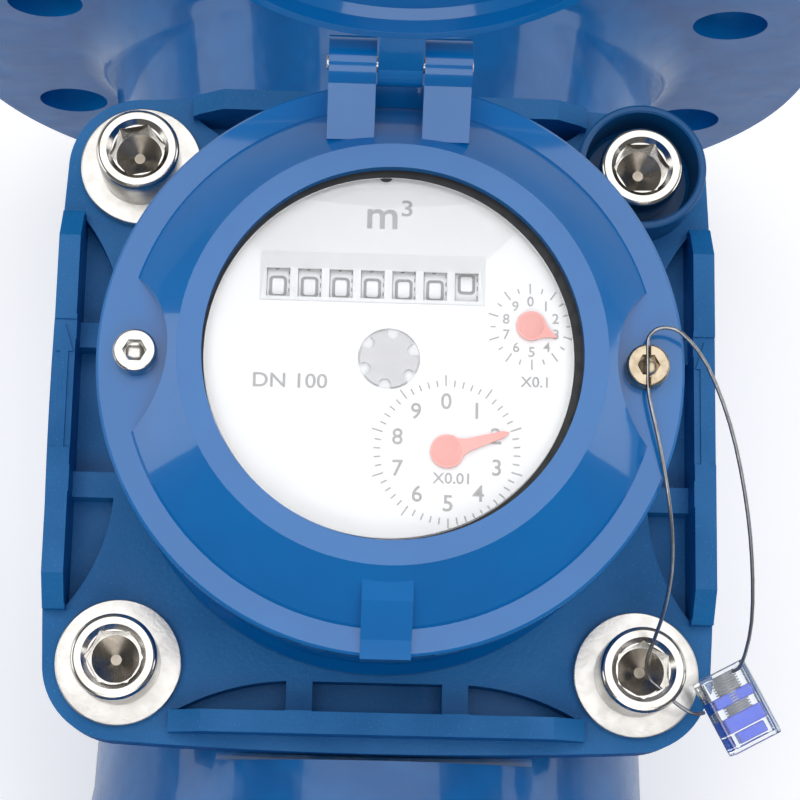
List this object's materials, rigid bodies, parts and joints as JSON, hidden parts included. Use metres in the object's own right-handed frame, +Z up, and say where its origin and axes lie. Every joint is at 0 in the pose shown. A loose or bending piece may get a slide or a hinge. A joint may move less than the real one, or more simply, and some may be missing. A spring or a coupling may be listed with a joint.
{
  "type": "water meter",
  "caption": "Flanged bulk water meter with a square bolted cover, a round dial head under a hinged lid that stands open, and a wired tamper seal.",
  "frame": {"origin": "on the ground under the middle of the body, half way between the two flange faces", "axes": "+Y along the pipe in the direction of flow, +Z up towards the dial, +X to the side where the seal hangs"},
  "size_m": [0.2192, 0.25, 0.3438],
  "materials": {
    "body_paint": "gloss blue paint on cast iron",
    "cover_paint": "satin blue paint on cast iron, slightly grainy",
    "head_paint": "gloss blue enamel",
    "bolt_steel": "bright nickel-like steel",
    "rubber": "matte black",
    "can_metal": "satin",
    "glass": "clear, polished",
    "dial_white": "white print base",
    "drum_white": "white with dark digits",
    "star_metal": "satin",
    "pointer_red": "red",
    "gear_plastic": "plain",
    "magnet": "dark, satin",
    "insert_plastic": "satin",
    "rotor_plastic": "satin",
    "seal_steel": "bright twisted wire",
    "seal_clear": "clear plastic",
    "seal_blue": "gloss"
  },
  "bodies": {
    "meter": {"meter_body": "body_paint", "cover_gasket": "rubber", "cover_plate": "cover_paint", "cover_bolt_front_left": "bolt_steel", "cover_bolt_front_right": "bolt_steel", "cover_bolt_rear_left": "bolt_steel", "cover_bolt_rear_right": "bolt_steel", "washer_front_left": "bolt_steel", "washer_front_right": "bolt_steel", "washer_rear_left": "bolt_steel", "seal_cup": "cover_paint", "register_housing": "head_paint", "clamp_ring": "head_paint", "ring_screw_left": "bolt_steel", "ring_screw_right": "bolt_steel", "hinge_pin": "bolt_steel", "register_can": "can_metal", "window_glass": "glass", "window_gasket": "rubber", "dial_plate": "dial_white", "movement_lower_plate": "gear_plastic", "movement_upper_plate": "gear_plastic", "insert_frame": "insert_plastic", "drive_gearbox": "insert_plastic", "flow_straightener": "insert_plastic", "rear_bearing": "insert_plastic", "seal_wire": "seal_steel", "seal_body": "seal_clear", "seal_winder": "seal_blue"},
    "lid": {"lid": "head_paint"},
    "rotor": {"turbine_rotor": "rotor_plastic"},
    "coupling": {"drive_magnet": "magnet"},
    "star": {"flow_star": "star_metal", "follower_magnet": "magnet"},
    "hundredths": {"pointer_hundredths": "pointer_red"},
    "idler": {"idler_wheel": "gear_plastic"},
    "tenths": {"pointer_tenths": "pointer_red"},
    "units": {"drum_shaft": "bolt_steel", "number_drum_7": "drum_white"},
    "drum_6": {"number_drum_6": "drum_white"},
    "drum_5": {"number_drum_5": "drum_white"},
    "drum_4": {"number_drum_4": "drum_white"},
    "drum_3": {"number_drum_3": "drum_white"},
    "drum_2": {"number_drum_2": "drum_white"},
    "drum_1": {"number_drum_1": "drum_white"}
  },
  "joints": [
    {"name": "lid_hinge", "type": "hinge", "parent": "meter", "child": "lid", "pos_m": [0, 0.057, 0.2394], "axis": [1, 0, 0], "range_deg": [0, 105]},
    {"name": "rotor_spin", "type": "hinge", "parent": "meter", "child": "rotor", "pos_m": [0, 0, 0.107], "axis": [0, 1, 0], "continuous": true},
    {"name": "coupling_spin", "type": "hinge", "parent": "meter", "child": "coupling", "pos_m": [0, 0, 0.1715], "axis": [0, 0, 1], "continuous": true},
    {"name": "star_spin", "type": "hinge", "parent": "meter", "child": "star", "pos_m": [-0.0007, -0.0006, 0.2314], "axis": [0, 0, 1], "continuous": true},
    {"name": "hundredths_spin", "type": "hinge", "parent": "meter", "child": "hundredths", "pos_m": [0.0108, -0.0186, 0.23175], "axis": [0, 0, 1], "continuous": true},
    {"name": "idler_spin", "type": "hinge", "parent": "meter", "child": "idler", "pos_m": [0.01956, -0.00118, 0.20075], "axis": [0, 0, 1], "continuous": true},
    {"name": "tenths_spin", "type": "hinge", "parent": "meter", "child": "tenths", "pos_m": [0.0267, 0.0066, 0.23175], "axis": [0, 0, 1], "continuous": true},
    {"name": "units_spin", "type": "hinge", "parent": "meter", "child": "units", "pos_m": [0.0141, 0.01425, 0.2236], "axis": [1, 0, 0], "continuous": true},
    {"name": "drum_6_spin", "type": "hinge", "parent": "meter", "child": "drum_6", "pos_m": [0.008, 0.01425, 0.2236], "axis": [1, 0, 0], "continuous": true},
    {"name": "drum_5_spin", "type": "hinge", "parent": "meter", "child": "drum_5", "pos_m": [0.0019, 0.01425, 0.2236], "axis": [1, 0, 0], "continuous": true},
    {"name": "drum_4_spin", "type": "hinge", "parent": "meter", "child": "drum_4", "pos_m": [-0.0042, 0.01425, 0.2236], "axis": [1, 0, 0], "continuous": true},
    {"name": "drum_3_spin", "type": "hinge", "parent": "meter", "child": "drum_3", "pos_m": [-0.0103, 0.01425, 0.2236], "axis": [1, 0, 0], "continuous": true},
    {"name": "drum_2_spin", "type": "hinge", "parent": "meter", "child": "drum_2", "pos_m": [-0.0164, 0.01425, 0.2236], "axis": [1, 0, 0], "continuous": true},
    {"name": "drum_1_spin", "type": "hinge", "parent": "meter", "child": "drum_1", "pos_m": [-0.0225, 0.01425, 0.2236], "axis": [1, 0, 0], "continuous": true}
  ],
  "couplings": [
    {"joint": "coupling_spin", "follows": "rotor_spin", "ratio": 0.05},
    {"joint": "star_spin", "follows": "rotor_spin", "ratio": 0.05},
    {"joint": "hundredths_spin", "follows": "rotor_spin", "ratio": -0.02},
    {"joint": "idler_spin", "follows": "rotor_spin", "ratio": 0.006},
    {"joint": "tenths_spin", "follows": "rotor_spin", "ratio": -0.002},
    {"joint": "units_spin", "follows": "rotor_spin", "ratio": -0.0002},
    {"joint": "drum_6_spin", "follows": "rotor_spin", "ratio": -0.00002},
    {"joint": "drum_5_spin", "follows": "rotor_spin", "ratio": -0.000002},
    {"joint": "drum_4_spin", "follows": "rotor_spin", "ratio": -0.0000002},
    {"joint": "drum_3_spin", "follows": "rotor_spin", "ratio": -0.00000002},
    {"joint": "drum_2_spin", "follows": "rotor_spin", "ratio": -0.000000002},
    {"joint": "drum_1_spin", "follows": "rotor_spin", "ratio": -0.0000000002}
  ]
}
